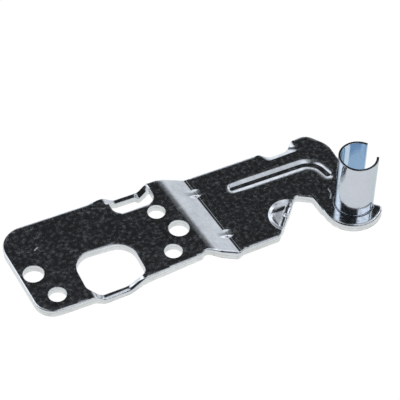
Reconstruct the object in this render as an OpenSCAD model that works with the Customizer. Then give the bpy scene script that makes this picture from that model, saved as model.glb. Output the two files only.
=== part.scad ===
// Freezer door hinge: a pressed steel bracket with a hollow hinge pin that is
// open down one side.
// Millimetres. The origin is on the pin's axis, level with the upper face of
// the arm. +Z runs up the pin, and the bracket runs out along -X.

/* [Sheet] */
// Thickness of the sheet
sheet_t = 3; // [2.8:0.1:3.2]
// Height of the mounting plate's face above the arm's face
step_h = 5; // [4.8:0.1:5.4]
// Slope of the step between the two levels, in degrees
step_slope = 27.5; // [26:0.5:30]
// Distance from the pin's axis to the fold at the foot of the step
fold_x = 46.9; // [46:0.1:48]
// Skew of the two fold lines across the bracket, in degrees
fold_skew = 5.7; // [4:0.1:7]

/* [Holes] */
// Diameter of the two large screw holes
hole_big_d = 7.2; // [6.8:0.1:7.8]
// Diameter of the three small screw holes
hole_small_d = 6.2; // [5.8:0.1:6.8]

/* [Bridges] */
// How far the two narrow bridges are set down below the mounting plate
bridge_drop = 3; // [2.4:0.1:3.2]
// Width of the bridge beside the square window
near_bridge_w = 2.2; // [2:0.1:2.4]
// Width of the bridge beside the slot
far_bridge_w = 1.8; // [1.6:0.1:2]
// Thickness of the two bridges, drawn thinner than the sheet
bridge_t = 2.3; // [2:0.1:2.6]

/* [Stiffening groove] */
// Width of the pressed groove along the arm
groove_w = 6.4; // [6:0.1:6.8]
// Depth of the pressed groove
groove_d = 0.6; // [0.5:0.1:0.8]

/* [Pocket and scoop] */
// Depth of the half-round pocket beside the notch
pocket_d = 2.2; // [1.8:0.1:2.4]
// Slope of the pocket's wall, in degrees
pocket_slope = 36; // [34:1:40]
// Depth of the shallow scoop in the far edge
scoop_d = 1.2; // [1:0.1:1.3]

/* [Hinge pin] */
// Outer diameter of the hollow pin
pin_d = 14; // [13.8:0.1:14.2]
// Wall thickness of the hollow pin
pin_wall = 1; // [0.8:0.1:1.3]
// Height of the pin's rim above the arm's face
pin_h = 23.4; // [22:0.2:25]
// Open side of the pin, in degrees around it
pin_gap = 61; // [50:1:75]

/* [Hidden] */
t = sheet_t;
h = step_h;
pin_r = pin_d / 2;
// radii of the two folds, measured on the upper face
fold_top_r = 9;
fold_foot_r = 1;
eye_r = 10.75;         // radius of the ring around the pin
eye_c = [-0.7, -0.2];  // centre of that ring
skirt_r = pin_r + 0.6; // foot of the pin
stake_r = 8.8;         // rolled flange under the arm
stake_t = 1;
gap_az = 3.5;          // direction of the open side, degrees from +X
eye_gap = pin_gap + 7.5; // open side of the ring around the pin

function unit(v) = v / norm(v);
function arc(c, r, a0, a1, n) =
    [for (i = [0:n]) c + r * [cos(a0 + (a1 - a0) * i / n), sin(a0 + (a1 - a0) * i / n)]];
// one corner of an outline, rounded to the radius given with it
function corner(p0, p1, p2, r) =
    r == 0 ? [p1] :
    let (a = unit(p0 - p1), b = unit(p2 - p1), ang = acos(a * b),
         c = p1 + unit(a + b) * r / sin(ang / 2),
         s = p1 + a * r / tan(ang / 2), e = p1 + b * r / tan(ang / 2),
         a0 = atan2(s[1] - c[1], s[0] - c[0]), a1 = atan2(e[1] - c[1], e[0] - c[0]),
         da = (a1 - a0 + 540) % 360 - 180, n = max(1, ceil(abs(da) / 12)))
    arc(c, r, a0, a0 + da, n);
function xy(p) = [p[0], p[1]];
function rounded(v) =
    [for (i = [0:len(v) - 1])
        each corner(xy(v[(i + len(v) - 1) % len(v)]), xy(v[i]), xy(v[(i + 1) % len(v)]), v[i][2])];

// Outline of the whole blank seen from above: x, y, corner radius
outline = [
    [-120, -6.4, 7], [-102, -6.5, 0], [-82, -5.7, 0],
    // relief beside the upper fold, then the edge that bulges at the lower one
    [-60.6, -3.9, 0.6], [-58.8, -2.5, 0.8], [-57, -3, 1.2], [-53.2, -4.5, 3],
    [-46.8, -5, 1], [-45.2, -4.1, 0.8],
    // notch between the arm and the eye
    [-30.8, -3.7, 2.2], [-25.2, 2.7, 3], [-22.2, 5.6, 3], [-17.6, 10.9, 1.4], [-12.4, 7.7, 1.4], [-11.9, 1, 4],
    [-8, -3, 0], [3, 0, 0],
    // back of the neck and the hump
    [4.7, 10, 0], [4.6, 28.4, 9], [-0.8, 36, 5], [-6.6, 35.5, 2],
    [-11, 31.9, 3], [-17.4, 31.7, 3], [-20.6, 34.1, 1.5],
    // long far edge
    [-60, 33.7, 0], [-83.4, 33.6, 0.6], [-87.6, 32.9, 2], [-122.2, 32.9, 9]
];
window = [[-102.2, -4.2, 4], [-80.9, -3.7, 2.6], [-80.9, 12.2, 7], [-102.1, 13.3, 7]];
slot = [[-80.5, 24.3, 3.8], [-64.9, 24.5, 3.8], [-64.9, 31.6, 0.8], [-80.5, 31.6, 0.8]];
big_holes = [[-116, 11.6], [-63, 10.1]];
small_holes = [[-112, 0.1], [-67, 20.1], [-69, 1.5]];
pocket = [-23.6, 3.7, 7.6];     // centre and rim radius
scoop_slope = 25;               // slope of the scoop's sides, in degrees
groove_run = [-36.3, 23];       // centre of the groove's left end
groove_bend = [-9.2, 16.5];     // centre of its bend
groove_end = 2.9;               // straight run after the bend
gussets = [26.2, 4.8];          // places of the two gussets along the lower fold

// Section of the stepped sheet across its folds, in X and Z
module step_section() {
    a = step_slope;
    f = -fold_x;                        // lower fold line
    g = f - h / tan(a);                 // upper fold line
    c1 = [g - fold_top_r * tan(a / 2), h - fold_top_r];
    c2 = [f + fold_foot_r * tan(a / 2), fold_foot_r];
    polygon(concat(
        [[-160, h]], arc(c1, fold_top_r, 90, 90 - a, 5),
        arc(c2, fold_foot_r, 270 - a, 270, 3), [[60, 0]],
        [[60, -t]], arc(c2, fold_foot_r + t, 270, 270 - a, 5),
        arc(c1, fold_top_r - t, 90 - a, 90, 3), [[-160, h - t]]));
}

module blank() {
    rotate([0, 0, fold_skew]) rotate([90, 0, 0]) translate([0, 0, -90])
        linear_extrude(height = 180) step_section();
}

module outline_solid() {
    translate([0, 0, -12]) linear_extrude(height = 24) union() {
        polygon(rounded(outline));
        translate(eye_c) circle(r = eye_r, $fn = 96);
    }
}

// A narrow bridge that dips between two points of the mounting plate. Its ends
// lie inside the plate, so they stop just short of the plate's face.
module bridge(x0, x1, x2, x3, y0, y1) {
    u = h - 0.02;
    d = u - bridge_drop;
    b = bridge_t;
    side = rounded([[x0 - 1.6, u, 0], [x0, u, 2], [x1, d, 2], [x2, d, 2],
        [x3, u, 2], [x3 + 1.6, u, 0], [x3 + 1.6, u - b, 0], [x3 + 0.4, u - b, 2],
        [x2 + 0.4, d - b, 2], [x1 - 0.4, d - b, 2], [x0 - 0.4, u - b, 2],
        [x0 - 1.6, u - b, 0]]);
    translate([0, y1, 0]) rotate([90, 0, 0]) linear_extrude(height = y1 - y0) polygon(side);
}

// Centre, heading and size of the groove's section at each place along it: a
// round end, a straight run, a bend, a short run and a round end
function groove_path() =
    let (w = groove_w / 2, r = groove_run[1] - groove_bend[1],
         e = groove_bend + r * [cos(15), sin(15)] + groove_end * [cos(75), -sin(75)])
    concat(
        [for (f = [75:-25:0]) [groove_run[0] - w * sin(f), groove_run[1], 0, cos(f)]],
        [for (g = [0:15:75]) [groove_bend[0] + r * sin(g), groove_bend[1] + r * cos(g), -g, 1]],
        [for (f = [0:25:75]) [e[0] + w * sin(f) * cos(75), e[1] - w * sin(f) * sin(75), -75, cos(f)]]);
// The groove's round-bottomed section, closed at the height top
function groove_section(k, z, top) =
    let (w = groove_w / 2, r = (w * w + groove_d * groove_d) / (2 * groove_d), a = asin(w / r))
    concat([[-k * w, top]], [for (i = [-3:3]) [k * r * sin(a * i / 3), z + k * (r - groove_d - r * cos(a * i / 3))]],
        [[k * w, top]]);
module groove_tool(z, top) {
    path = groove_path();
    n = len(path);
    m = 9;
    polyhedron(
        points = [for (p = path) for (q = groove_section(p[3], z, top))
            [p[0] - q[0] * sin(p[2]), p[1] + q[0] * cos(p[2]), q[1]]],
        faces = concat(
            [[for (j = [0:m - 1]) j]],
            [[for (j = [m - 1:-1:0]) (n - 1) * m + j]],
            [for (i = [0:n - 2]) for (j = [0:m - 1]) [i * m + j, (i + 1) * m + j, i * m + (j + 1) % m]],
            [for (i = [0:n - 2]) for (j = [0:m - 1])
                [(i + 1) * m + j, (i + 1) * m + (j + 1) % m, i * m + (j + 1) % m]]));
}

// Cone that presses a pocket, p holding its centre and rim radius. It runs on
// past the face that it presses.
module pocket_tool(p, z, grow) {
    run_on = 0.5;
    translate([p[0], p[1], z - pocket_d])
        cylinder(r1 = p[2] - pocket_d / tan(pocket_slope) + grow, r2 = p[2] + run_on / tan(pocket_slope) + grow,
            h = pocket_d + run_on, $fn = 96);
}

// X of the scoop's leaning left side at y, moved inward by e
function scoop_left(e, y) = -20.7 + (e - 0.376 * (y - 33.5)) / 0.926;
// Corners of the scoop, moved inward by e, at the height z
function scoop_ring(e, z) =
    [[scoop_left(e, 29.8 + e), 29.8 + e, z], [-6.2 - e, 29.8 + e, z], [-6.2 - e, 42, z], [scoop_left(e, 42), 42, z]];
module scoop_tool(z, grow) {
    run_on = 0.4;
    polyhedron(
        points = concat(scoop_ring(scoop_d / tan(scoop_slope) - grow, z - scoop_d),
            scoop_ring(-run_on / tan(scoop_slope) - grow, z + run_on)),
        faces = [[0, 1, 2, 3], [7, 6, 5, 4], [0, 4, 5, 1], [1, 5, 6, 2], [2, 6, 7, 3], [3, 7, 4, 0]]);
}

// The sheet with its folds, bridges, pockets and ridge, before it is trimmed
module pressed() {
    difference() {
        blank();
        translate([-101.6, -20, -8]) cube([18.1, 20 - 6.4 + near_bridge_w, 24]);
        translate([-82.2, 33.4 - far_bridge_w, -8]) cube([17.4, 20, 24]);
    }
    bridge(-101.6, -97, -89.6, -83.5, -20, -6.36 + near_bridge_w);
    bridge(-82.2, -77.2, -69, -64.8, 33.36 - far_bridge_w, 50);
    pocket_tool(pocket, -t, t * tan(pocket_slope / 2));
    scoop_tool(-t, t * tan(scoop_slope / 2));
    groove_tool(-t + 0.05, -t + 0.8);
}

// Place of a gusset, which lies across the lower fold at y
module gusset_at(y, z) {
    translate([-fold_x - 0.3 - y * tan(fold_skew), y, z]) children();
}

module bracket_plate() {
    a0 = gap_az - eye_gap / 2;
    a1 = gap_az + eye_gap / 2;
    color([0.27, 0.27, 0.29]) difference() {
        union() {
            intersection() {
                pressed();
                outline_solid();
            }
            for (y = gussets) gusset_at(y, -1.4) intersection() {
                sphere(r = 2.7, $fn = 64);
                translate([-4, -4, -0.6]) cube([8, 8, 6]);
            }
        }
        // the hollow side of the gussets
        for (y = gussets) gusset_at(y, -4.6) sphere(r = 2.7, $fn = 64);
        translate([0, 0, -8]) linear_extrude(height = 24) polygon(rounded(window));
        translate([0, 0, -8]) linear_extrude(height = 24) polygon(rounded(slot));
        for (p = big_holes) translate([p[0], p[1], -8]) cylinder(d = hole_big_d, h = 24, $fn = 64);
        for (p = small_holes) translate([p[0], p[1], -8]) cylinder(d = hole_small_d, h = 24, $fn = 64);
        // the eye and its open side
        translate([0, 0, -12]) cylinder(r = pin_r, h = 24, $fn = 96);
        translate([0, 0, -12]) linear_extrude(height = 24)
            polygon([[0, 0], 8.8 * [cos(a0), sin(a0)], 11.4 * [cos(a0 - 10), sin(a0 - 10)],
                18 * [cos(a0 - 10), sin(a0 - 10)], [26, 26 * tan(gap_az)], 18 * [cos(a1 + 10), sin(a1 + 10)],
                11.4 * [cos(a1 + 10), sin(a1 + 10)], 8.8 * [cos(a1), sin(a1)]]);
        groove_tool(0.03, 1);
        pocket_tool(pocket, 0, 0);
        scoop_tool(0, 0);
    }
}

module hinge_pin_sleeve() {
    color([0.74, 0.77, 0.8]) rotate([0, 0, gap_az + pin_gap / 2])
        rotate_extrude(angle = 360 - pin_gap, $fn = 96) polygon([
            [pin_r - pin_wall, -t - stake_t], [stake_r, -t - stake_t], [stake_r, -t], [pin_r, -t],
            [pin_r, 0], [skirt_r, 0], [skirt_r, 0.5], [pin_r, 2.2], [pin_r, pin_h - 0.2],
            [pin_r - 0.2, pin_h], [pin_r - pin_wall + 0.2, pin_h], [pin_r - pin_wall, pin_h - 0.2]]);
}

bracket_plate();
hinge_pin_sleeve();
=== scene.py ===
import math
import bpy
import numpy as np
from mathutils import Matrix, Vector
from mathutils.geometry import delaunay_2d_cdt


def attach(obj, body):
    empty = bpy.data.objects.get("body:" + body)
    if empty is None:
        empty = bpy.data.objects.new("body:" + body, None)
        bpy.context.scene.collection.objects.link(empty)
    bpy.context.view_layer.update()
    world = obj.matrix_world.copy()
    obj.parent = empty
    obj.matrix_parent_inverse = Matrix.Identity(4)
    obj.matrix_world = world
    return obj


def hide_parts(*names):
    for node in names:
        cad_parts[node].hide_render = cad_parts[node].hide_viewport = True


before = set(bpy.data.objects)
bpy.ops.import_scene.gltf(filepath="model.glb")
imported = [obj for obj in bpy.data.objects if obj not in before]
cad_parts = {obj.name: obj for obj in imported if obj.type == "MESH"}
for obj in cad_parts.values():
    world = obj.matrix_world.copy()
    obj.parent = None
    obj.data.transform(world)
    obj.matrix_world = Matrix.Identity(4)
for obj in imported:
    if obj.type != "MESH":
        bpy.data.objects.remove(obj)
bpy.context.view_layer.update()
scene = bpy.context.scene
scene.view_settings.view_transform = "Standard"
scene.view_settings.look = "None"
MM = 0.001

# ---------------------------------------------------------------- camera
AZ, EL, ROLL = math.radians(25.972), math.radians(48.101), math.radians(1.308)
FOCAL, DEPTH, AT = 1913.0, 0.6727, (353.719, 201.616)
fwd = Vector((math.sin(AZ) * math.cos(EL), math.cos(AZ) * math.cos(EL), -math.sin(EL)))
right = Vector((math.cos(AZ), -math.sin(AZ), 0.0))
up = right.cross(fwd)
cam_x = math.cos(ROLL) * right + math.sin(ROLL) * up
cam_y = -math.sin(ROLL) * right + math.cos(ROLL) * up
cam_at = -(cam_x * ((AT[0] - 200) / FOCAL * DEPTH) - cam_y * ((AT[1] - 200) / FOCAL * DEPTH) + fwd * DEPTH)
cam_data = bpy.data.cameras.new("camera")
cam_data.sensor_width = 36.0
cam_data.lens = FOCAL * 36.0 / 400.0
cam_data.clip_start, cam_data.clip_end = 0.01, 100.0
cam = bpy.data.objects.new("camera", cam_data)
cam.matrix_world = Matrix(((cam_x[0], cam_y[0], -fwd[0], cam_at[0]),
                           (cam_x[1], cam_y[1], -fwd[1], cam_at[1]),
                           (cam_x[2], cam_y[2], -fwd[2], cam_at[2]),
                           (0, 0, 0, 1)))
scene.collection.objects.link(cam)
scene.camera = cam


# ---------------------------------------------------------------- node helper
class Nodes:
    """Short names for the nodes that the materials and the sky are made of."""

    def __init__(self, tree):
        self.tree = tree
        tree.nodes.clear()

    def put(self, socket, value):
        if isinstance(value, bpy.types.NodeSocket):
            self.tree.links.new(value, socket)
        elif value is not None:
            socket.default_value = value

    def new(self, kind, **settings):
        n = self.tree.nodes.new(kind)
        for k, v in settings.items():
            setattr(n, k, v)
        return n

    def math(self, op, a, b=None, c=None, clamp=False):
        n = self.new("ShaderNodeMath", operation=op, use_clamp=clamp)
        self.put(n.inputs[0], a)
        self.put(n.inputs[1], b)
        if c is not None:
            self.put(n.inputs[2], c)
        return n.outputs[0]

    def ramp(self, x, a, b, lo=0.0, hi=1.0, smooth=True):
        n = self.new("ShaderNodeMapRange", interpolation_type="SMOOTHSTEP" if smooth else "LINEAR")
        self.put(n.inputs["Value"], x)
        for name, v in (("From Min", a), ("From Max", b), ("To Min", lo), ("To Max", hi)):
            n.inputs[name].default_value = v
        return n.outputs["Result"]

    def dot(self, v, w):
        n = self.new("ShaderNodeVectorMath", operation="DOT_PRODUCT")
        self.put(n.inputs[0], v)
        n.inputs[1].default_value = w
        return n.outputs["Value"]

    def mix(self, f, a, b):
        n = self.new("ShaderNodeMix", data_type="RGBA")
        self.put(n.inputs["Factor"], f)
        self.put(n.inputs[6], a)
        self.put(n.inputs[7], b)
        return n.outputs[2]

    def noise(self, v, scale, detail=2.0, rough=0.5, distortion=0.0):
        n = self.new("ShaderNodeTexNoise", noise_dimensions="3D")
        self.put(n.inputs["Vector"], v)
        n.inputs["Scale"].default_value = scale
        n.inputs["Detail"].default_value = detail
        n.inputs["Roughness"].default_value = rough
        n.inputs["Distortion"].default_value = distortion
        return n.outputs["Fac"]

    def place(self, v, turn=(0, 0, 0), scale=(1, 1, 1), move=(0, 0, 0)):
        n = self.new("ShaderNodeMapping")
        self.put(n.inputs["Vector"], v)
        n.inputs["Rotation"].default_value = turn
        n.inputs["Scale"].default_value = scale
        n.inputs["Location"].default_value = move
        return n.outputs["Vector"]


# ---------------------------------------------------------------- studio light
# A dark studio with a white table and a pale wall in front that fades upward, with a
# narrow white panel before it. A strip lamp and a pale ceiling hang on either side of
# the middle, a soft box stands on either side and a third hangs over the front, to the
# right. F points away from the front of the set, S to its right.
F = (math.sin(AZ), math.cos(AZ), 0.0)
S = (math.cos(AZ), -math.sin(AZ), 0.0)
world = bpy.data.worlds.new("studio")
scene.world = world
world.use_nodes = True
w = Nodes(world.node_tree)
way = w.new("ShaderNodeTexCoord").outputs["Generated"]
f, s, z = w.dot(way, F), w.dot(way, S), w.dot(way, (0, 0, 1))


def product(first, *others):
    for o in others:
        first = w.math("MULTIPLY", first, o)
    return first


wall = product(w.ramp(z, 0.20, 0.60, 1, 0), w.ramp(f, -0.15, 0.25), w.ramp(s, -0.1, 0.4, 1.35, 0.98))
haze = product(w.ramp(z, 0.52, 0.72, 0.20, 0), w.ramp(f, 0.2, 0.5))
panel = product(w.ramp(z, 0.50, 0.58, 1.35, 0), w.ramp(z, 0.2, 0.3), w.ramp(s, -0.24, -0.18), w.ramp(s, -0.06, 0.0, 1, 0), w.ramp(f, 0.70, 0.80))
skirting = product(w.ramp(z, 0.03, 0.16, 0.95, 0), w.ramp(f, -0.15, 0.25, 1, 0))
strip = product(w.ramp(f, 0.20, 0.30), w.ramp(f, 0.38, 0.56, 1, 0), w.ramp(s, 0.02, 0.12), w.ramp(z, 0.72, 0.82), 1.05)
ceiling = product(w.ramp(z, 0.86, 0.90), w.ramp(f, 0.24, 0.27, 1, 0), w.ramp(s, 0.02, 0.12), w.ramp(z, 0.945, 0.953, 0.90, 1.25))
ceiling_left = product(w.ramp(z, 0.78, 0.86), w.ramp(f, -0.10, 0.0), w.ramp(f, 0.22, 0.34, 1, 0), w.ramp(s, -0.22, -0.10, 1, 0), 1.5)
slant = w.math("ADD", s, product(w.math("MAXIMUM", w.math("SUBTRACT", f, 0.32), 0.0), 0.7))
core = product(w.ramp(s, -0.60, -0.48, 1.2, 0), w.ramp(z, 0.64, 0.69), w.ramp(z, 0.80, 0.86, 1, 0))
box_left = product(w.ramp(slant, -0.38, -0.24, 1, 0), w.ramp(f, -0.12, 0.04), w.math("ADD", core, 1.3))
box_right = product(w.ramp(s, 0.42, 0.52), w.ramp(z, 0.02, 0.10), w.ramp(f, 0.40, 0.62), 1.6)
split = w.math("MAXIMUM", w.ramp(f, 0.18, 0.24, 1, 0), product(w.ramp(f, 0.34, 0.38), w.ramp(f, 0.48, 0.54, 1, 0), w.ramp(s, 0.40, 0.46)))
box_front = product(w.ramp(s, 0.22, 0.34), w.ramp(z, 0.62, 0.67), w.ramp(z, 0.79, 0.84, 1, 0), split, 2.3)
dim = w.ramp(z, 0.76, 0.90, 0.027, 0.10)
sky = dim
for part in (wall, haze, panel, skirting, strip, ceiling, ceiling_left, box_left, box_right, box_front):
    sky = w.math("MAXIMUM", sky, part)
back = w.new("ShaderNodeBackground")
w.put(back.inputs["Strength"], sky)
back.inputs["Color"].default_value = (0.98, 1.0, 1.0, 1)
w.tree.links.new(back.outputs[0], w.new("ShaderNodeOutputWorld").inputs["Surface"])


# ---------------------------------------------------------------- materials
def metal(name, tint, dark, rough, spread, scratch, marks=(), lining=None, rim=(1, 1, 1)):
    """Bright zinc: its tint, roughness and fine relief all vary over the surface."""
    mat = bpy.data.materials.new(name)
    mat.use_nodes = True
    m = Nodes(mat.node_tree)
    at = m.new("ShaderNodeTexCoord").outputs["Object"]
    broad = m.noise(at, 140.0, 3.0, 0.55)
    fine = m.noise(at, 740.0, 2.0, 0.55)
    cloud = m.noise(m.place(at, move=(3, 5, 7)), 620.0, 2.0, 0.6)
    dots = m.ramp(m.noise(at, 1300.0, 1.0, 0.4), 0.69, 0.82)
    lines = 0.0
    for turn, seed, thin in ((0.5, 0.0, 2600.0), (-0.6, 3.1, 3000.0), (1.35, 7.7, 2800.0)):
        run = m.noise(m.place(at, (0, 0, turn), (330.0, thin, 200.0), (seed, seed * 2, seed)), 1.0, 0.0)
        patch = m.ramp(m.noise(m.place(at, move=(seed, 1, 2)), 90.0, 1.0), 0.50, 0.66)
        lines = m.math("ADD", lines, m.math("MULTIPLY", m.ramp(run, 0.70, 0.78), patch))
    lines = m.math("MINIMUM", lines, 1.0)
    p = m.new("ShaderNodeBsdfPrincipled")
    p.inputs["Metallic"].default_value = 1.0
    p.inputs["Specular Tint"].default_value = (*rim, 1)
    tone = m.math("MULTIPLY", m.math("ADD", broad, cloud), 0.5)
    colour = m.mix(m.ramp(tone, 0.32, 0.68, smooth=False), (*dark, 1), (*tint, 1))
    if lining:
        # the inside of the tube carries a bluer film than the outside
        flat = m.new("ShaderNodeVectorMath", operation="MULTIPLY")
        m.put(flat.inputs[0], at)
        flat.inputs[1].default_value = (1, 1, 0)
        length = m.new("ShaderNodeVectorMath", operation="LENGTH")
        m.put(length.inputs[0], flat.outputs[0])
        colour = m.mix(m.ramp(length.outputs["Value"], 0.0063, 0.0066, 1, 0), colour, (*lining, 1))
    m.put(p.inputs["Base Color"], colour)
    r = m.math("ADD", m.ramp(fine, 0.30, 0.70, rough - spread, rough + spread, smooth=False), m.math("MULTIPLY", dots, scratch))
    r = m.math("ADD", r, m.math("MULTIPLY", lines, scratch), clamp=True)
    for (ax, ay), (bx, by), half in marks:
        # a single scratch from a to b
        mid = ((ax + bx) / 2 * MM, (ay + by) / 2 * MM)
        turn = math.atan2(by - ay, bx - ax)
        long = math.hypot(bx - ax, by - ay) / 2 * MM
        spot = m.place(at, (0, 0, 0), (1, 1, 1), (-mid[0], -mid[1], 0))
        spot = m.place(spot, (0, 0, -turn))
        u = m.math("ABSOLUTE", m.dot(spot, (1, 0, 0)))
        v = m.math("ABSOLUTE", m.dot(spot, (0, 1, 0)))
        on = m.math("MULTIPLY", m.ramp(u, long * 0.7, long, 1, 0), m.ramp(v, half * 0.4 * MM, half * MM, 1, 0))
        r = m.math("ADD", r, m.math("MULTIPLY", on, 0.5), clamp=True)
    m.put(p.inputs["Roughness"], r)
    relief = m.math("ADD", m.math("MULTIPLY", m.noise(at, 700.0, 4.0, 0.6), 0.6), m.math("MULTIPLY", lines, -0.5))
    bump = m.new("ShaderNodeBump")
    bump.inputs["Strength"].default_value = 0.14
    bump.inputs["Distance"].default_value = 0.00002
    m.put(bump.inputs["Height"], relief)
    m.put(p.inputs["Normal"], bump.outputs[0])
    m.tree.links.new(p.outputs[0], m.new("ShaderNodeOutputMaterial").inputs["Surface"])
    return mat


zinc = metal("zinc_sheet", (0.62, 0.65, 0.71), (0.45, 0.475, 0.53), 0.146, 0.108, 0.10,
             (((-112.1, 20.9), (-110.2, 22.0), 0.35), ((-5.3, 9.5), (-5.4, 6.9), 0.3), ((-5.4, 6.9), (-7.0, 4.5), 0.35)))
burnish = metal("burnished_edge", (0.68, 0.70, 0.71), (0.56, 0.59, 0.60), 0.24, 0.08, 0.10)
tear_line = metal("tear_line", (0.46, 0.48, 0.49), (0.32, 0.34, 0.35), 0.34, 0.10, 0.10)
shear = metal("torn_edge", (0.73, 0.75, 0.75), (0.56, 0.59, 0.59), 0.34, 0.10, 0.10)
tube = metal("zinc_tube", (0.56, 0.59, 0.645), (0.51, 0.545, 0.60), 0.12, 0.04, 0.06, lining=(0.505, 0.625, 0.755),
             rim=(0.74, 0.82, 0.82))


# ---------------------------------------------------------------- plan of the sheet, in millimetres
def arc(c, r, a0, a1, step=0.12):
    n = max(2, math.ceil(abs(math.radians(a1 - a0)) * r / step))
    t = np.radians(np.linspace(a0, a1, n + 1))
    return np.c_[c[0] + r * np.cos(t), c[1] + r * np.sin(t)]


def rounded(v):
    out = []
    for i, (x, y, r) in enumerate(v):
        p1 = np.array((x, y), float)
        if r == 0:
            out.append(p1[None])
            continue
        a = np.array(v[i - 1][:2]) - p1
        b = np.array(v[(i + 1) % len(v)][:2]) - p1
        a, b = a / np.linalg.norm(a), b / np.linalg.norm(b)
        half = math.acos(np.clip(a @ b, -1, 1)) / 2
        c = p1 + (a + b) / np.linalg.norm(a + b) * r / math.sin(half)
        q0, q1 = p1 + a * r / math.tan(half), p1 + b * r / math.tan(half)
        a0 = math.degrees(math.atan2(*(q0 - c)[::-1]))
        a1 = math.degrees(math.atan2(*(q1 - c)[::-1]))
        out.append(arc(c, r, a0, a0 + (a1 - a0 + 540) % 360 - 180))
    return np.vstack(out)


def evenly(p, step):
    q = np.vstack([p, p[:1]])
    d = np.linalg.norm(np.diff(q, axis=0), axis=1)
    keep = np.r_[True, d > 1e-9]
    q = q[keep]
    s = np.r_[0, np.cumsum(d[d > 1e-9])]
    t = np.linspace(0, s[-1], max(8, int(round(s[-1] / step))), endpoint=False)
    return np.c_[np.interp(t, s, q[:, 0]), np.interp(t, s, q[:, 1])]


def smoothed(p, sigma, step):
    n = len(p)
    k = np.minimum(np.arange(n), n - np.arange(n)) * step
    g = np.exp(-0.5 * (k / sigma) ** 2)
    g = np.fft.fft(g / g.sum())
    return np.real(np.fft.ifft(np.fft.fft(p, axis=0) * g[:, None], axis=0))


def sampled(p, sigma, longest):
    """A closed line, softened a little and sampled more closely where it bends."""
    p = evenly(p, 0.05)
    if sigma:
        p = smoothed(p, sigma, 0.05)
    d1 = (np.roll(p, -1, 0) - np.roll(p, 1, 0)) / 2
    d2 = np.roll(p, -1, 0) - 2 * p + np.roll(p, 1, 0)
    bend = np.abs(d1[:, 0] * d2[:, 1] - d1[:, 1] * d2[:, 0]) / np.maximum(np.hypot(*d1.T) ** 3, 1e-12)
    h = np.clip(0.28 / np.maximum(bend, 1e-6), 0.13, longest)
    h = np.real(np.fft.ifft(np.fft.fft(h) * np.fft.fft(
        (lambda g: g / g.sum())(np.exp(-0.5 * (np.minimum(np.arange(len(h)), len(h) - np.arange(len(h))) / 6.0) ** 2)))))
    q = np.vstack([p, p[:1]])
    d = np.linalg.norm(np.diff(q, axis=0), axis=1)
    s = np.r_[0, np.cumsum(d / h)]
    n = int(round(s[-1]))
    t = np.arange(n) * s[-1] / n
    return np.c_[np.interp(t, s, q[:, 0]), np.interp(t, s, q[:, 1])]


def turned(p, ccw):
    area = np.sum(p[:, 0] * np.roll(p[:, 1], -1) - p[:, 1] * np.roll(p[:, 0], -1))
    return p if (area > 0) == ccw else p[::-1]


T, H0, SLOPE, FOLD, SKEW = 3.0, 5.0, math.radians(27.5), 46.9, math.radians(5.7)
R_TOP, R_FOOT = 9.0, 1.0
EYE_R, EYE_C = 10.75, np.array((-0.7, -0.2))
HOLE_R = 7.04
GAP0, GAP1 = 3.5 - 34.25, 3.5 + 34.25
OUTLINE = [
    (-120, -6.4, 7), (-102, -6.5, 0), (-82, -5.7, 0),
    (-60.6, -3.9, 0.6), (-58.8, -2.5, 0.8), (-57, -3, 1.2), (-53.2, -4.5, 3),
    (-46.8, -5, 1), (-45.2, -4.1, 0.8),
    (-30.8, -3.7, 2.2), (-25.2, 2.7, 3), (-22.2, 5.6, 3), (-17.6, 10.9, 1.4), (-12.4, 7.7, 1.4), (-11.9, 1, 4),
    (-8, -3, 0), (3, 0, 0),
    (4.7, 10, 0), (4.6, 28.4, 9), (-0.8, 36, 5), (-6.6, 35.5, 2),
    (-11, 31.9, 3), (-17.4, 31.7, 3), (-20.6, 34.1, 1.5),
    (-60, 33.7, 0), (-83.4, 33.6, 0.6), (-87.6, 32.9, 2), (-122.2, 32.9, 9)]
WINDOW = [(-102.2, -4.2, 4), (-80.9, -3.7, 2.6), (-80.9, 12.2, 7), (-102.1, 13.3, 7)]
SLOT = [(-80.5, 24.3, 3.8), (-64.9, 24.5, 3.8), (-64.9, 31.6, 0.8), (-80.5, 31.6, 0.8)]
HOLES = [(-116, 11.6, 3.58), (-63, 10.1, 3.6), (-112, 0.15, 3.08), (-67, 20.1, 3.08), (-69, 1.5, 3.1)]
POCKET = (-23.6, 3.7, 7.6)
RIDGE = (-24.9, 6.0, 0.758, -0.652)
GUSSETS = [26.2, 4.8]


def on_eye(angle):
    d = np.array((math.cos(math.radians(angle)), math.sin(math.radians(angle))))
    b = d @ EYE_C
    return d * (b + math.sqrt(b * b - EYE_C @ EYE_C + EYE_R ** 2)), d


def outer_line():
    p = evenly(rounded(OUTLINE), 0.05)
    inside = np.hypot(*(p - EYE_C).T) < EYE_R
    first = int(np.argmax(inside))
    last = len(inside) - 1 - int(np.argmax(inside[::-1]))
    ang = lambda q: math.degrees(math.atan2(q[1] - EYE_C[1], q[0] - EYE_C[0])) % 360
    g0, d0 = on_eye(GAP0)
    g1, d1 = on_eye(GAP1)
    cut = 2.4
    turn = math.degrees(cut / EYE_R)
    a0, a1 = ang(g0) - turn, ang(g1) + turn
    c0 = arc(EYE_C, EYE_R, a0, a0 + 0.01)[:1]
    c1 = arc(EYE_C, EYE_R, a1, a1 + 0.01)[:1]
    t = np.linspace(0.02, 0.98, 30)[:, None]
    bend0 = (1 - t) ** 2 * c0 + 2 * t * (1 - t) * g0 + t ** 2 * (g0 - d0 * cut)
    bend1 = (1 - t) ** 2 * (g1 - d1 * cut) + 2 * t * (1 - t) * g1 + t ** 2 * c1
    return np.vstack([
        p[:first], arc(EYE_C, EYE_R, ang(p[first]), a0), bend0,
        [d0 * HOLE_R], arc((0, 0), HOLE_R, GAP0, GAP1 - 360), bend1,
        arc(EYE_C, EYE_R, a1, ang(p[last])), p[last + 1:]])


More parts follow.
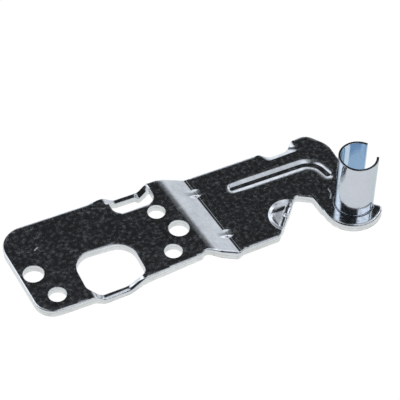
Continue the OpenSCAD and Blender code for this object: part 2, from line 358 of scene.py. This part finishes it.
loops = [turned(sampled(outer_line(), 0.22, 0.42), True),
         turned(sampled(rounded(WINDOW), 0.2, 0.42), False),
         turned(sampled(rounded(SLOT), 0.15, 0.42), False)]
for x, y, r in HOLES:
    loops.append(turned(sampled(arc((x, y), r, 0, 360)[:-1], 0, 0.32), False))

# where the loops start, and each sample's next one and inward normal
starts = np.r_[0, np.cumsum([len(p) for p in loops])]
edge = np.vstack(loops)
M = len(edge)
after = np.arange(M) + 1
for a, b in zip(starts[:-1], starts[1:]):
    after[b - 1] = a
before = np.empty(M, int)
before[after] = np.arange(M)
tang = edge[after] - edge[before]
tang /= np.linalg.norm(tang, axis=1)[:, None]
inward = np.c_[-tang[:, 1], tang[:, 0]]
# width and depth of the rounded lip that the shearing leaves on the upper side
roll_w = np.full(M, 0.20)
roll_d = np.full(M, 0.16)
roll_w[starts[3]:], roll_d[starts[3]:] = 0.15, 0.12
ex, ey = edge.T
outer = np.arange(M) < starts[1]


def lip(where, w_, d_):
    roll_w[outer & where], roll_d[outer & where] = w_, d_


lip(ey < 8, 0.28, 0.22)
lip((ey < -1) & (ex > -58) & (ex < -46), 1.0, 0.9)
lip((ey < -5.4) & (ex > -12), 0.95, 0.62)
lip((ex > 3.4) & (ey < 0), 1.35, 0.60)
lip((ex < -108) & (ey < 4), 0.55, 0.30)
lip((ex < -119.6) & (ey < 28), 0.75, 0.30)
lip((ex > -98.5) & (ex < -90.5) & (ey < 0), 1.2, 0.55)
lip((ex > -90.5) & (ex < -83.5) & (ey < 0), 1.2, 1.1)
for _ in range(12):
    roll_w[:starts[1]] = (np.roll(roll_w[:starts[1]], 1) + roll_w[:starts[1]] + np.roll(roll_w[:starts[1]], -1)) / 3
    roll_d[:starts[1]] = (np.roll(roll_d[:starts[1]], 1) + roll_d[:starts[1]] + np.roll(roll_d[:starts[1]], -1)) / 3
at_pin = np.hypot(*edge.T) < HOLE_R + 0.25
roll_w[at_pin], roll_d[at_pin] = 0.4, 0.35


def nearest(p):
    """Distance from each point to the edges, the point met there, and the lip's width and depth at it."""
    a, b = edge, edge[after]
    ab = b - a
    l2 = (ab ** 2).sum(1)
    dist = np.empty(len(p))
    foot = np.empty((len(p), 2))
    wide = np.empty(len(p))
    deep = np.empty(len(p))
    for i in range(0, len(p), 1500):
        q = p[i:i + 1500]
        ap = q[:, None] - a[None]
        t = np.clip((ap * ab[None]).sum(2) / l2[None], 0, 1)
        d = ap - t[..., None] * ab[None]
        d2 = (d ** 2).sum(2)
        k = d2.argmin(1)
        r = np.arange(len(q))
        tk = t[r, k]
        dist[i:i + 1500] = np.sqrt(d2[r, k])
        foot[i:i + 1500] = a[k] + tk[:, None] * ab[k]
        wide[i:i + 1500] = roll_w[k] * (1 - tk) + roll_w[after[k]] * tk
        deep[i:i + 1500] = roll_d[k] * (1 - tk) + roll_d[after[k]] * tk
    return dist, foot, wide, deep


def in_material(p):
    """Even-odd test against all the loops."""
    a, b = edge, edge[after]
    out = np.zeros(len(p), bool)
    for i in range(0, len(p), 3000):
        q = p[i:i + 3000]
        cross = (a[None, :, 1] > q[:, None, 1]) != (b[None, :, 1] > q[:, None, 1])
        dy = np.where(np.abs(b[:, 1] - a[:, 1]) < 1e-12, 1e-12, b[:, 1] - a[:, 1])
        x = a[None, :, 0] + (q[:, None, 1] - a[None, :, 1]) * ((b[:, 0] - a[:, 0]) / dy)[None]
        out[i:i + 3000] = (cross & (q[:, None, 0] < x)).sum(1) % 2 == 1
    return out


# ---------------------------------------------------------------- height of the sheet's two faces
def ease(a, b, x):
    t = np.clip((x - a) / (b - a), 0, 1)
    return t * t * (3 - 2 * t)


def smin(a, b, k):
    h = np.clip(0.5 + 0.5 * (b - a) / k, 0, 1)
    return b * (1 - h) + a * h - k * h * (1 - h)


def smax(a, b, k):
    return -smin(-a, -b, k)


def across(x, y):
    return x * math.cos(SKEW) + y * math.sin(SKEW)


G_LINE = -FOLD - H0 / math.tan(SLOPE)
C1 = (G_LINE - R_TOP * math.tan(SLOPE / 2), H0 - R_TOP)
C2 = (-FOLD + R_FOOT * math.tan(SLOPE / 2), R_FOOT)


def step(u, off):
    r1, r2 = R_TOP - off, R_FOOT + off
    ua = C1[0] + r1 * math.sin(SLOPE)
    line = C1[1] + r1 * math.cos(SLOPE) - (u - ua) * math.tan(SLOPE)
    z = np.where(u < ua, C1[1] + np.sqrt(np.maximum(r1 ** 2 - np.maximum(u - C1[0], 0) ** 2, 0)), line)
    return np.where(u > C2[0] - r2 * math.sin(SLOPE),
                    C2[1] - np.sqrt(np.maximum(r2 ** 2 - np.minimum(u - C2[0], 0) ** 2, 0)), z)


def bridge_share(x, y):
    near = ease(-101.8, -96.8, x) * (1 - ease(-88.8, -82.0, x)) * (1 - ease(-3.6, -1.4, y))
    far = ease(-82.4, -77.0, x) * (1 - ease(-69.2, -64.6, x)) * ease(30.2, 31.5, y)
    return near + far


def twist(x, y):
    """Drop of the far bridge's rising end, which is rolled over toward the slot."""
    return 0.6 * np.clip(33.9 - y, 0, 2.4) * ease(-70.2, -68.6, x) * (1 - ease(-66.2, -64.7, x)) * ease(31.0, 31.4, y)


GR_A, GR_B, GR_C, GR_R = (-36.3, 23.0), (-9.2, 23.0), (-9.2, 16.5), 6.5
GR_E = (GR_C[0] + GR_R * math.cos(math.radians(15)), GR_C[1] + GR_R * math.sin(math.radians(15)))
GR_DIR = (math.cos(math.radians(75)), -math.sin(math.radians(75)))
GR_END = 2.9


def groove_off(x, y):
    """Distance from the groove's middle line."""
    d1 = np.hypot(x - np.clip(x, GR_A[0], GR_B[0]), y - GR_A[1])
    th = np.clip(np.arctan2(y - GR_C[1], x - GR_C[0]), math.radians(15), math.radians(90))
    d2 = np.hypot(x - GR_C[0] - GR_R * np.cos(th), y - GR_C[1] - GR_R * np.sin(th))
    t = np.clip((x - GR_E[0]) * GR_DIR[0] + (y - GR_E[1]) * GR_DIR[1], 0, GR_END)
    d3 = np.hypot(x - GR_E[0] - t * GR_DIR[0], y - GR_E[1] - t * GR_DIR[1])
    return np.minimum(np.minimum(d1, d2), d3)


# slope of the groove's wall against the distance from its middle line, and the
# depth that follows from it
GR_AT = np.arange(0, 3.41, 0.02)
GR_SLOPE = np.interp(GR_AT, [0, 0.86, 1.06, 1.30, 1.55, 3.2], [0, 0, 0.46, 0.42, 0.34, 0])
GR_FALL = np.r_[0, np.cumsum((GR_SLOPE[1:] + GR_SLOPE[:-1]) * 0.01)]
GR_FALL = GR_FALL[-1] - GR_FALL


def groove_depth(x, y):
    # the left end runs out to a narrow tip
    narrow = 1 + 0.15 * (1 - ease(-36.6, -31, x))
    # the bottom lies nearer to the far rim, so the near wall is the longer one
    aside = 0.35 * (1 - np.clip(groove_off(x, y) / 3.2, 0, 1) ** 2)
    return np.interp(groove_off(x, y - aside) * narrow, GR_AT, GR_FALL)


def gusset(x, y, gy, spread):
    """Height of a gusset: a short ridge that leans from the step down onto the arm."""
    gx = -FOLD - 0.2 - gy * math.tan(SKEW)
    du, dv = across(x - gx, y - gy), -(x - gx) * math.sin(SKEW) + (y - gy) * math.cos(SKEW)
    crest = 0.30 * (1.85 - du) - 0.02 * (du + 0.5) ** 2
    return crest - 0.06 * dv ** 2 - spread * dv ** 4


def fallen(at, slope, d):
    """Depth at the distance d from a rim, from the slopes at some distances."""
    run = np.arange(0, 9.01, 0.02)
    s_ = np.interp(run, at, slope)
    return np.interp(np.clip(d, 0, 9), run, np.r_[0, np.cumsum((s_[1:] + s_[:-1]) * 0.01)])


def pocket_depth(x, y, grow=0.0):
    """Depth of the half-round pocket beside the notch: a rounded rim, a plane floor and a bent-down margin."""
    px, py, pr = POCKET
    r = np.hypot(x - px, y - py)
    d = pr + grow - r
    side = fallen([0, 0.5, 9], [0, 0.66, 0.66], d)
    far = fallen([0, 0.4, 9], [0, 0.36, 0.36], d)
    share = ease(0.1, 0.75, (y - py) / np.maximum(r, 0.1))
    wall_ = side * (1 - share) + far * share
    # a gentle hollow runs round inside the wall, and the floor leans to the near side
    floor_ = 0.5 + fallen([0, 1.5, 1.7, 2.6, 2.9, 9], [0, 0, 0.17, 0.13, 0, 0], d) + fallen([0, 0.5, 9], [0, 0.14, 0.14], 7.5 - y)
    past = (x - RIDGE[0]) * RIDGE[2] + (y - RIDGE[1]) * RIDGE[3]
    length = (y - RIDGE[1]) * RIDGE[2] - (x - RIDGE[0]) * RIDGE[3]
    floor_ = floor_ + fallen([0, 0.15, 0.4, 0.55, 1.3, 1.5, 9], [0, 0.45, 0.45, -0.2, -0.2, 0.25, 0.25], past) + grow * 0.3
    floor_ = floor_ - 0.28 * np.exp(-((length + 0.3) / 0.55) ** 2) * ease(0.35, 0.8, past)
    return np.maximum(smin(wall_, floor_, 0.16), 0)


def scoop_depth(x, y, grow=0.0):
    """Depth of the shallow scoop in the far edge: a floor that curves down to the edge."""
    a = y - 29.75 - 0.03 * (x + 14)
    b = -6.0 - x
    c = (x + 20.7) * 0.926 + (y - 33.5) * 0.376
    d = smin(smin(a, b, 1.8), c, 1.4) + grow
    return fallen([0, 0.2, 0.9, 1.6, 9], [0, 0.14, 0.36, 0.46, 0.46], d)


def upper(x, y):
    u = across(x, y)
    z = step(u, 0)
    # the line that the tool leaves along the foot of the step
    z = z - 0.09 * ease(0.62, 0.98, u + FOLD) * (1 - ease(0.98, 6, u + FOLD))
    for gy in GUSSETS:
        z = smax(z, gusset(x, y, gy, 0.045), 0.8)
    z = z - 3.0 * bridge_share(x, y) - twist(x, y)
    return z - groove_depth(x, y) - pocket_depth(x, y) - scoop_depth(x, y)


def lower(x, y):
    u = across(x, y)
    z = step(u, T)
    for gy in GUSSETS:
        z = smax(z, gusset(x, y, gy, 0.06) - T - 0.2, 0.5)
    z = z - (3.0 - 0.7) * bridge_share(x, y) - twist(x, y)
    z = z - groove_depth(x, y) - pocket_depth(x, y, 0.5) - scoop_depth(x, y, 0.4)
    return np.maximum(z, -6.0)


def slopes(f, x, y, e=0.004):
    return (f(x + e, y) - f(x - e, y)) / (2 * e), (f(x, y + e) - f(x, y - e)) / (2 * e)


# ---------------------------------------------------------------- points of the plan mesh
cells = {}


def taken(points, reach):
    """Keeps the points that are at least reach away from those kept before."""
    kept = []
    for px, py in points:
        kx, ky = math.floor(px / 0.5), math.floor(py / 0.5)
        free = True
        for i in (kx - 1, kx, kx + 1):
            for j in (ky - 1, ky, ky + 1):
                for qx, qy in cells.get((i, j), ()):
                    if (qx - px) ** 2 + (qy - py) ** 2 < reach * reach:
                        free = False
                        break
                if not free:
                    break
            if not free:
                break
        if free:
            cells.setdefault((kx, ky), []).append((px, py))
            kept.append((px, py))
    return kept


for px, py in edge:
    cells.setdefault((math.floor(px / 0.5), math.floor(py / 0.5)), []).append((px, py))
points = [tuple(p) for p in edge]


def add(p, reach, beyond=None):
    """Adds points that lie in the material and, if beyond is given, further from every edge than the lip is wide."""
    p = np.asarray(p, float)
    p = p[in_material(p)]
    if beyond is not None and len(p):
        d, _, wide, _ = nearest(p)
        p = p[d > wide + beyond]
    points.extend(taken([tuple(q) for q in p], reach))


for share in (0.04, 0.14, 0.30, 0.50, 0.74, 1.0):
    p = edge + inward * (roll_w * share)[:, None]
    d, _, _, _ = nearest(p)
    ok = d > roll_w * share * 0.97
    add(p[ok], min(0.12, 0.03 + 0.16 * share))


def grid_uv(u0, u1, v0, v1, du, dv):
    """Points on lines that run along the folds."""
    u, v = np.meshgrid(np.arange(u0, u1, du), np.arange(v0, v1, dv))
    u, v = u.ravel(), v.ravel()
    return np.c_[u * math.cos(SKEW) - v * math.sin(SKEW), u * math.sin(SKEW) + v * math.cos(SKEW)]


for gy in GUSSETS:
    gx = -FOLD - 0.2 - gy * math.tan(SKEW)
    for r in np.arange(0.25, 4.2, 0.25):
        add(arc((gx, gy), r, 0, 360, 0.3)[:-1], 0.13, 0.1)
add(grid_uv(-FOLD - 0.75, -FOLD + 1.75, -2, 45, 0.1, 0.5), 0.09, 0.1)
add(grid_uv(C1[0] - 0.3, C1[0] + R_TOP * math.sin(SLOPE) + 0.4, -2, 45, 0.3, 0.7), 0.25, 0.12)
run = np.arange(GR_A[0], GR_B[0], 0.55)
for off in np.r_[-np.arange(0.12, 4.1, 0.24)[::-1], np.arange(0.12, 4.1, 0.24)]:
    add(np.c_[run, np.full(len(run), GR_A[1] + off)], 0.2, 0.1)
    if GR_R + off > 1.2:
        add(arc(GR_C, GR_R + off, 90, 15, 0.4), 0.2, 0.1)
    t = np.arange(0, GR_END + 0.01, 0.4)
    add(np.c_[GR_E[0] + t * GR_DIR[0] + off * GR_DIR[1] * -1, GR_E[1] + t * GR_DIR[1] + off * GR_DIR[0]], 0.2, 0.1)
end = (GR_E[0] + GR_END * GR_DIR[0], GR_E[1] + GR_END * GR_DIR[1])
for r in np.arange(0.12, 4.1, 0.24):
    add(arc(GR_A, r, 90, 270, 0.35), 0.2, 0.1)
    add(arc(end, r, -165, 15, 0.35), 0.2, 0.1)
for r in np.arange(0.4, POCKET[2] + 1.0, 0.2):
    add(arc(POCKET[:2], r, 0, 360, 0.4)[:-1], 0.16, 0.1)
for y in np.arange(29.2, 36, 0.24):
    add(np.c_[np.arange(-21.6, -6, 0.33), np.full(48, y)][:47], 0.2, 0.1)
for x0, x1, y0, y1 in ((-103, -82, -6, 0), (-84, -63, 29, 33.4)):
    gx, gy = np.meshgrid(np.arange(x0, x1, 0.4), np.arange(y0, y1, 0.37))
    add(np.c_[gx.ravel(), gy.ravel()], 0.2, 0.02)
rows = []
for k, y in enumerate(np.arange(-12, 37, 0.86)):
    xs = np.arange(-122, 10, 1.0) + 0.5 * (k % 2)
    rows.append(np.c_[xs, np.full(len(xs), y)])
add(np.vstack(rows), 0.45, 0.2)

pairs = [(i, int(after[i])) for i in range(M)]
made = delaunay_2d_cdt([Vector(p) for p in points], pairs, [], 0, 1e-7, True)
plan = np.array([tuple(v) for v in made[0]])
tris = np.array([t for t in made[2] if len(t) == 3])
source = made[3]
home = np.full(len(points), -1)
for k, olds in enumerate(source):
    for o in olds:
        home[o] = k
tris = tris[in_material(plan[tris].mean(1))]
a, b, c = plan[tris[:, 0]], plan[tris[:, 1]], plan[tris[:, 2]]
area = (b[:, 0] - a[:, 0]) * (c[:, 1] - a[:, 1]) - (b[:, 1] - a[:, 1]) * (c[:, 0] - a[:, 0])
tris[area < 0] = tris[area < 0][:, ::-1]
used = np.unique(tris)
renum = np.full(len(plan), -1)
renum[used] = np.arange(len(used))
tris = renum[tris]
plan = plan[used]
rim = renum[home[:M]]
assert (rim >= 0).all() and len(set(rim)) == M, "an edge sample is missing from the plan mesh"

# ---------------------------------------------------------------- the pressed sheet as one closed mesh
N = len(plan)
X, Y = plan.T
dist, foot, wide, deep = nearest(plan)
dist[rim] = 0.0
q = np.clip(1 - dist / wide, 0, 1)
flank = np.sqrt(np.maximum(1 - q * q, 0))
# the left end is also drawn down over a broad margin
broad = 0.08 * (1 - ease(-116, -106, X + 0.5 * Y))
near = np.clip(1 - dist / 2.6, 0, 1)
z_top = upper(X, Y) - deep * (1 - flank) - broad * near ** 2
gx, gy = slopes(upper, X, Y)
away = np.where(dist[:, None] > 1e-6, (plan - foot) / np.maximum(dist, 1e-6)[:, None], 0)
away[rim] = inward
fall = deep / wide * q / np.maximum(flank, 0.02) + 2 * broad / 2.6 * near
n_top = np.c_[-gx - fall * away[:, 0], -gy - fall * away[:, 1], np.ones(N)]
n_top /= np.linalg.norm(n_top, axis=1)[:, None]
z_bot = lower(X, Y)
gx, gy = slopes(lower, X, Y)
n_bot = np.c_[gx, gy, -np.ones(N)]
n_bot /= np.linalg.norm(n_bot, axis=1)[:, None]

rng = np.random.default_rng(7)


def along(sigma):
    """A random number for each edge sample, even along each loop."""
    r = rng.standard_normal(M)
    for a, b in zip(starts[:-1], starts[1:]):
        n = b - a
        k = np.minimum(np.arange(n), n - np.arange(n))
        g = np.exp(-0.5 * (k / sigma) ** 2)
        v = np.real(np.fft.ifft(np.fft.fft(r[a:b]) * np.fft.fft(g)))
        r[a:b] = v / (v.std() + 1e-9)
    return r


# the wall: a smooth band under the lip, then the torn band, which stands back
bounds_ = [0.0, 0.20, 0.38, 0.46, 0.58, 0.72, 0.86, 1.0]
back_by = [0.0, 0.0, 0.0, 0.05, 0.085, 0.10, 0.11, 0.09]
tear = 0.035 * along(6.0) + 0.02 * along(1.2)
rough_edge = [np.zeros(M)] * 3 + [0.012 * along(1.0) for _ in range(4)] + [0.008 * along(1.0)]
zt, zb = z_top[rim], z_bot[rim]
verts = [np.c_[X, Y, z_top], np.c_[X, Y, z_bot]]
index = [rim]
count = 2 * N
levels = []
for k, (fr, bk) in enumerate(zip(bounds_, back_by)):
    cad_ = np.full(M, fr)
    if 0 < k < len(bounds_) - 1:
        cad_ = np.clip(fr + tear * (1 if k < 4 else 0.5), 0.02, 0.98)
    off = (bk + rough_edge[k]) * (1 - 0.0 * at_pin)
    off[at_pin] = 0.0
    pos = np.c_[edge + inward * off[:, None], zt + (zb - zt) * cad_]
    levels.append((pos, off))
    if k == 0:
        continue
    if k == len(bounds_) - 1:
        verts[1][rim] = pos
        index.append(rim + N)
    else:
        verts.append(pos)
        index.append(np.arange(M) + count)
        count += M
verts = np.vstack(verts)
wall, wall_n, wall_m = [], [], []
out_n = -inward
for k in range(len(index) - 1):
    pa, oa = levels[k]
    pb, ob = levels[k + 1]
    lean = (ob - oa) / np.maximum(pa[:, 2] - pb[:, 2], 0.05)
    n = np.c_[out_n, -lean]
    n /= np.linalg.norm(n, axis=1)[:, None]
    i, j = index[k], index[k + 1]
    wall.append(np.c_[i, j, j[after], i[after]])
    wall_n.append(np.stack([n, n, n[after], n[after]], 1))
    wall_m.append(np.full(M, 1 if k < 2 else 2 if k < 3 else 3))
wall, wall_n, wall_m = np.vstack(wall), np.concatenate(wall_n), np.concatenate(wall_m)


def build(name, verts, faces, normals, slots, mats, scale=MM):
    mesh = bpy.data.meshes.new(name)
    mesh.from_pydata((verts * scale).tolist(), [], faces)
    mesh.polygons.foreach_set("use_smooth", [True] * len(faces))
    mesh.polygons.foreach_set("material_index", slots)
    for m in mats:
        mesh.materials.append(m)
    mesh.update()
    mesh.normals_split_custom_set(normals)
    obj = bpy.data.objects.new(name, mesh)
    scene.collection.objects.link(obj)
    return obj


faces = tris.tolist() + (tris[:, ::-1] + N).tolist() + wall.tolist()
normals = np.concatenate([n_top[tris].reshape(-1, 3), n_bot[tris[:, ::-1]].reshape(-1, 3), wall_n.reshape(-1, 3)])
slots = [0] * (2 * len(tris)) + wall_m.tolist()
bracket = build("bracket_plate_formed", verts, faces, normals.tolist(), slots, [zinc, burnish, tear_line, shear])
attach(bracket, "root")
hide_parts("bracket_plate")
print("bracket: plan points", N, "triangles", 2 * len(tris) + 2 * len(wall))

# ---------------------------------------------------------------- the hollow pin
PIN_H = 23.4


def outer_r(z):
    return 6.93 + 0.13 * ease(4, 23, z)


section = [(-4.0, 8.6, 6.15), (-3.9, 8.78, 6.05), (-3.75, 8.8, 6.0), (-3.1, 8.8, 6.0), (-3.0, 8.7, 6.0),
           (-3.0, 6.98, 6.0), (-1.5, 6.98, 6.0), (0.0, 6.98, 6.0)]
for z in np.r_[0.0, 0.12, np.arange(0.3, 2.6, 0.25), np.arange(3.0, PIN_H - 0.8, 1.2)]:
    section.append((float(z), float(outer_r(z)), 5.95 + 0.16 * float(ease(4, 23, z))))
r_o, r_i = float(outer_r(PIN_H)), 5.95 + 0.16
for a in range(0, 91, 15):
    c_, s_ = math.cos(math.radians(a)), math.sin(math.radians(a))
    section.append((PIN_H - 0.15 + 0.15 * s_, r_o - 0.15 * (1 - c_), r_i + 0.12 * (1 - c_)))
section = np.array(section)
K = len(section)
# stations round the pin, with the two long edges rounded over
A0, A1 = 3.5 + 30.5, 3.5 - 30.5 + 360
ends = [0.0, 0.06, 0.17, 0.32]
shut = [0.30, 0.13, 0.04, 0.0]
stations = [(A0 + math.degrees(e / 7), t) for e, t in zip(ends, shut)]
stations += [(a, 0.0) for a in np.linspace(A0 + 4.2, A1 - 4.2, 132)]
stations += [(A1 - math.degrees(e / 7), t) for e, t in reversed(list(zip(ends, shut)))]
pv, pf = [], []
for a, t in stations:
    ca, sa = math.cos(math.radians(a)), math.sin(math.radians(a))
    ro, ri = section[:, 1] - t, section[:, 2] + t
    ro = np.maximum(ro, ri + 0.02)
    pv.append(np.c_[ro * ca, ro * sa, section[:, 0]])
    pv.append(np.c_[ri * ca, ri * sa, section[:, 0]])
pv = np.vstack(pv)
for i in range(len(stations) - 1):
    o0, i0, o1, i1 = 2 * i * K, (2 * i + 1) * K, (2 * i + 2) * K, (2 * i + 3) * K
    for k in range(K - 1):
        pf.append((o0 + k, o1 + k, o1 + k + 1, o0 + k + 1))
        pf.append((i0 + k + 1, i1 + k + 1, i1 + k, i0 + k))
    pf.append((i0, i1, o1, o0))
    pf.append((o0 + K - 1, o1 + K - 1, i1 + K - 1, i0 + K - 1))
L = 2 * (len(stations) - 1) * K
for k in range(K - 1):
    pf.append((k, k + 1, K + k + 1, K + k))
    pf.append((L + K + k, L + K + k + 1, L + k + 1, L + k))
mesh = bpy.data.meshes.new("hinge_pin_formed")
mesh.from_pydata((pv * MM).tolist(), [], pf)
mesh.polygons.foreach_set("use_smooth", [True] * len(pf))
mesh.materials.append(tube)
mesh.update()
mesh.set_sharp_from_angle(angle=math.radians(50))
pin = bpy.data.objects.new("hinge_pin_formed", mesh)
scene.collection.objects.link(pin)
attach(pin, "root")
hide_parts("hinge_pin_sleeve")

# ---------------------------------------------------------------- table
fm = bpy.data.meshes.new("table")
e = 6.0
fm.from_pydata([(-e, -e, -0.00602), (e, -e, -0.00602), (e, e, -0.00602), (-e, e, -0.00602)], [], [(0, 1, 2, 3)])
floor = bpy.data.objects.new("table", fm)
scene.collection.objects.link(floor)
white = bpy.data.materials.new("white_table")
white.use_nodes = True
m = Nodes(white.node_tree)
glow = m.new("ShaderNodeEmission")
glow.inputs["Color"].default_value = (1, 1, 1, 1)
glow.inputs["Strength"].default_value = 1.0
matt = m.new("ShaderNodeBsdfDiffuse")
matt.inputs["Color"].default_value = (0.03, 0.03, 0.03, 1)
both = m.new("ShaderNodeAddShader")
m.tree.links.new(glow.outputs[0], both.inputs[0])
m.tree.links.new(matt.outputs[0], both.inputs[1])
m.tree.links.new(both.outputs[0], m.new("ShaderNodeOutputMaterial").inputs["Surface"])
fm.materials.append(white)
